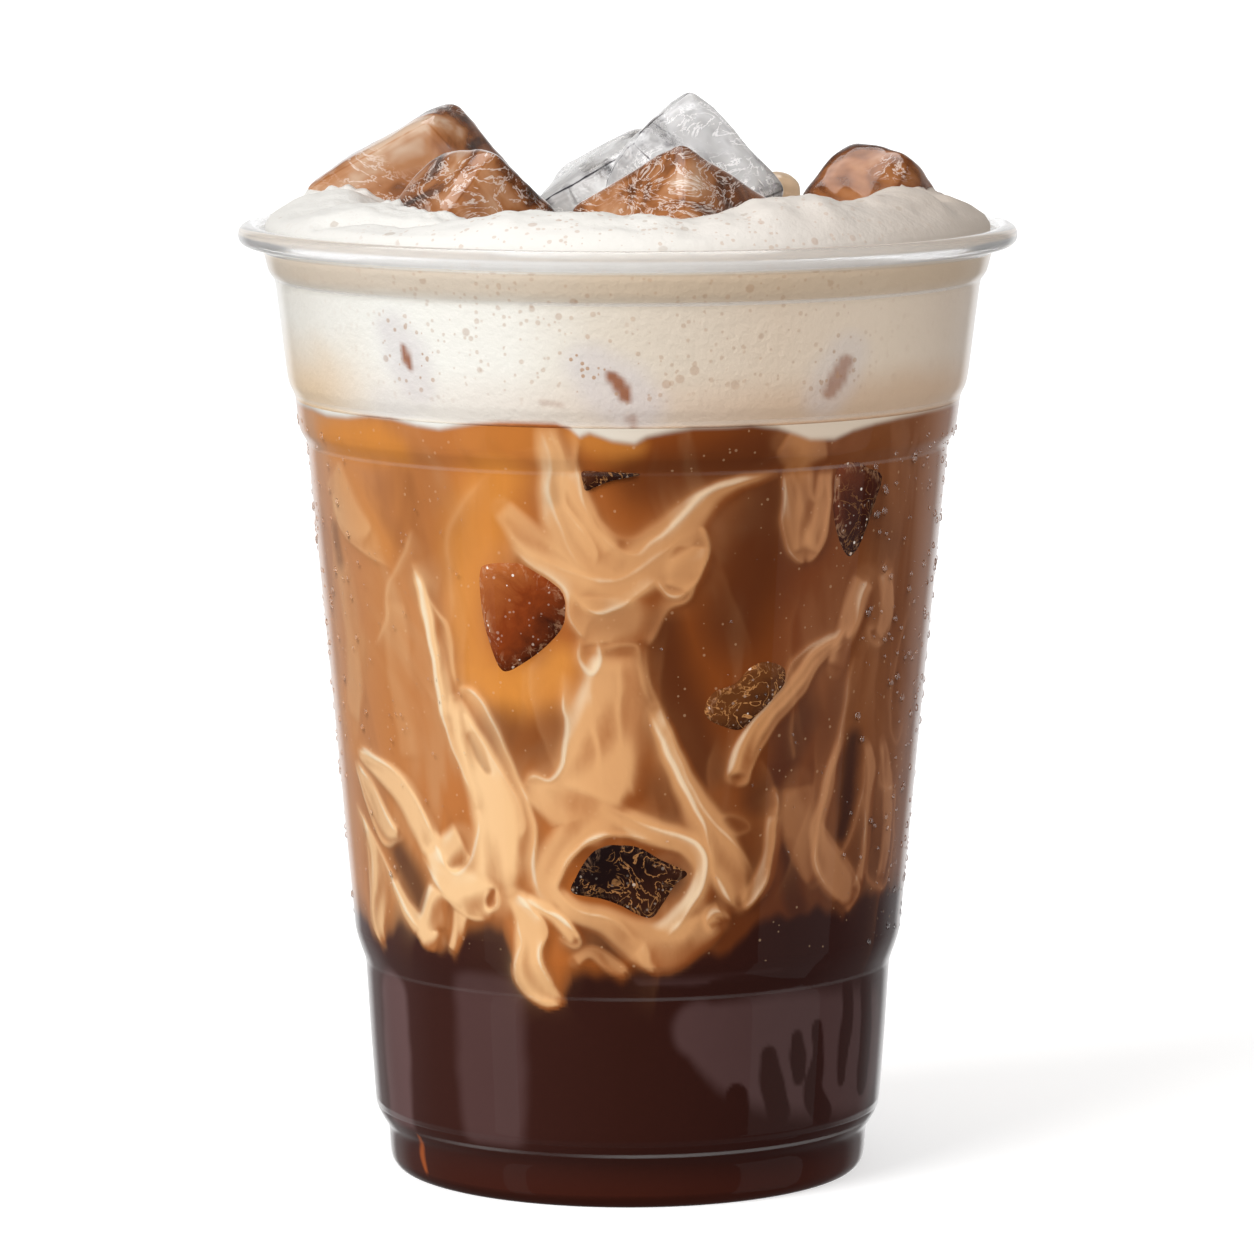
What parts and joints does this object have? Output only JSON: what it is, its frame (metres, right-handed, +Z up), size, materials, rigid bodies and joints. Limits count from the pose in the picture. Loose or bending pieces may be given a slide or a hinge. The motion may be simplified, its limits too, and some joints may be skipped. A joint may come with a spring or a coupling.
{
  "type": "iced latte",
  "caption": "Iced latte in a stepped, tapered clear plastic cup with a rolled lip: dark coffee below, milky coffee above it, and a foam cap with ice rising over the rim.",
  "frame": {"origin": "centre of the cup's base, on the surface it stands on", "axes": "+Z up the cup's axis, -Y the side that the picture shows"},
  "size_m": [0.0978, 0.0978, 0.1358],
  "materials": {
    "clear_plastic": "clear, thin, smooth thermoformed plastic",
    "milk_foam": "soft off-white milk foam with fine bubbles",
    "latte": "caramel milky coffee with lighter swirls",
    "dark_coffee": "very dark red-brown coffee",
    "brown_ice": "wet ice with milky coffee on it",
    "clear_ice": "wet clear ice with grey edges",
    "milky_ice": "small lump of ice under milk"
  },
  "bodies": {
    "root": {"cup": "clear_plastic", "milk_foam": "milk_foam", "latte": "latte", "dark_coffee": "dark_coffee", "ice_left_back": "brown_ice", "ice_left_front": "brown_ice", "ice_mid_left": "clear_ice", "ice_mid_back": "clear_ice", "ice_mid_front": "brown_ice", "ice_right": "brown_ice", "ice_small": "milky_ice"}
  },
  "joints": []
}
